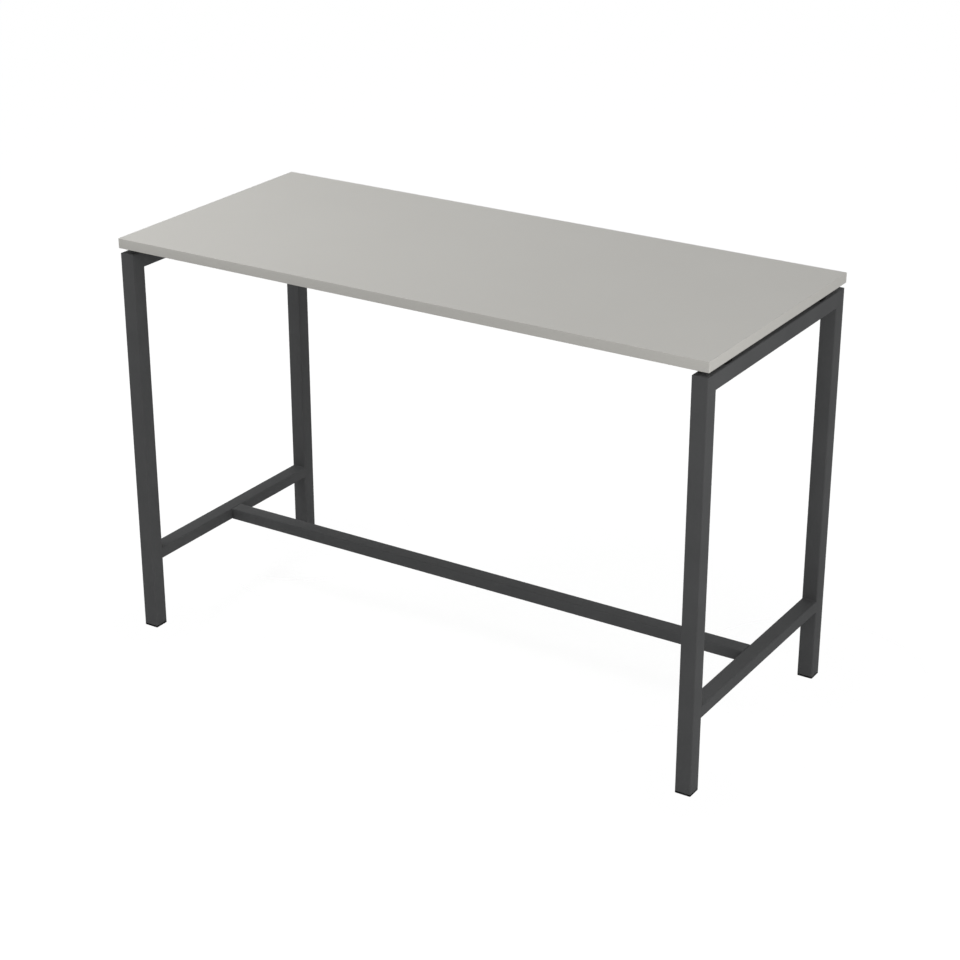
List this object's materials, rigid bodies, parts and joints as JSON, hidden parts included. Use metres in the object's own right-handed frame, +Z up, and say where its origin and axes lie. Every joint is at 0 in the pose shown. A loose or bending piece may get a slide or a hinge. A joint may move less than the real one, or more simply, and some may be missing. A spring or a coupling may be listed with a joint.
{
  "type": "standing meeting table",
  "caption": "Bar-height meeting table with a floating board on portal side frames of square tube, tied by foot rails and a low stretcher, on screw levelling feet.",
  "frame": {"origin": "on the floor, under the middle of the table", "axes": "+X along the table's length, +Y towards its back, +Z up"},
  "size_m": [1.6, 0.7, 1.05],
  "materials": {
    "board_face": "matt warm grey melamine face on chipboard",
    "edge_band": "matt warm grey ABS edge band",
    "powder_coat": "fine-textured anthracite powder coat",
    "black_plastic": "black moulded plastic",
    "zinc_plated_steel": "bright zinc plate"
  },
  "bodies": {
    "table": {"beam_back": "powder_coat", "beam_back_stub_left": "powder_coat", "beam_back_stub_right": "powder_coat", "beam_front": "powder_coat", "beam_front_stub_left": "powder_coat", "beam_front_stub_right": "powder_coat", "board_spacers": "black_plastic", "edge_band_back": "edge_band", "edge_band_front": "edge_band", "edge_band_left": "edge_band", "edge_band_right": "edge_band", "foot_bushes": "zinc_plated_steel", "foot_rail_left": "powder_coat", "foot_rail_right": "powder_coat", "leg_back_left": "powder_coat", "leg_back_right": "powder_coat", "leg_front_left": "powder_coat", "leg_front_right": "powder_coat", "leg_plug_back_left": "black_plastic", "leg_plug_back_right": "black_plastic", "leg_plug_front_left": "black_plastic", "leg_plug_front_right": "black_plastic", "stretcher": "powder_coat", "stretcher_stub_left": "powder_coat", "stretcher_stub_right": "powder_coat", "tabletop_board": "board_face", "top_rail_left": "powder_coat", "top_rail_right": "powder_coat"},
    "pad_front_left": {"foot_pad_front_left": "black_plastic"},
    "stem_front_left": {"foot_stem_front_left": "zinc_plated_steel"},
    "pad_front_right": {"foot_pad_front_right": "black_plastic"},
    "stem_front_right": {"foot_stem_front_right": "zinc_plated_steel"},
    "pad_back_left": {"foot_pad_back_left": "black_plastic"},
    "stem_back_left": {"foot_stem_back_left": "zinc_plated_steel"},
    "pad_back_right": {"foot_pad_back_right": "black_plastic"},
    "stem_back_right": {"foot_stem_back_right": "zinc_plated_steel"}
  },
  "joints": [
    {"name": "pad_lower_front_left", "type": "slide", "parent": "table", "child": "pad_front_left", "axis": [0, 0, -1], "range_m": [0, 0.015]},
    {"name": "stem_turn_front_left", "type": "hinge", "parent": "pad_front_left", "child": "stem_front_left", "pos_m": [-0.778, -0.328, 0.02], "axis": [0, 0, -1], "range_deg": [0, 3600]},
    {"name": "pad_lower_front_right", "type": "slide", "parent": "table", "child": "pad_front_right", "axis": [0, 0, -1], "range_m": [0, 0.015]},
    {"name": "stem_turn_front_right", "type": "hinge", "parent": "pad_front_right", "child": "stem_front_right", "pos_m": [0.778, -0.328, 0.02], "axis": [0, 0, -1], "range_deg": [0, 3600]},
    {"name": "pad_lower_back_left", "type": "slide", "parent": "table", "child": "pad_back_left", "axis": [0, 0, -1], "range_m": [0, 0.015]},
    {"name": "stem_turn_back_left", "type": "hinge", "parent": "pad_back_left", "child": "stem_back_left", "pos_m": [-0.778, 0.328, 0.02], "axis": [0, 0, -1], "range_deg": [0, 3600]},
    {"name": "pad_lower_back_right", "type": "slide", "parent": "table", "child": "pad_back_right", "axis": [0, 0, -1], "range_m": [0, 0.015]},
    {"name": "stem_turn_back_right", "type": "hinge", "parent": "pad_back_right", "child": "stem_back_right", "pos_m": [0.778, 0.328, 0.02], "axis": [0, 0, -1], "range_deg": [0, 3600]}
  ],
  "couplings": [
    {"joint": "stem_turn_front_left", "follows": "pad_lower_front_left", "rad_per_m": 4188.8},
    {"joint": "stem_turn_front_right", "follows": "pad_lower_front_right", "rad_per_m": 4188.8},
    {"joint": "stem_turn_back_left", "follows": "pad_lower_back_left", "rad_per_m": 4188.8},
    {"joint": "stem_turn_back_right", "follows": "pad_lower_back_right", "rad_per_m": 4188.8}
  ]
}
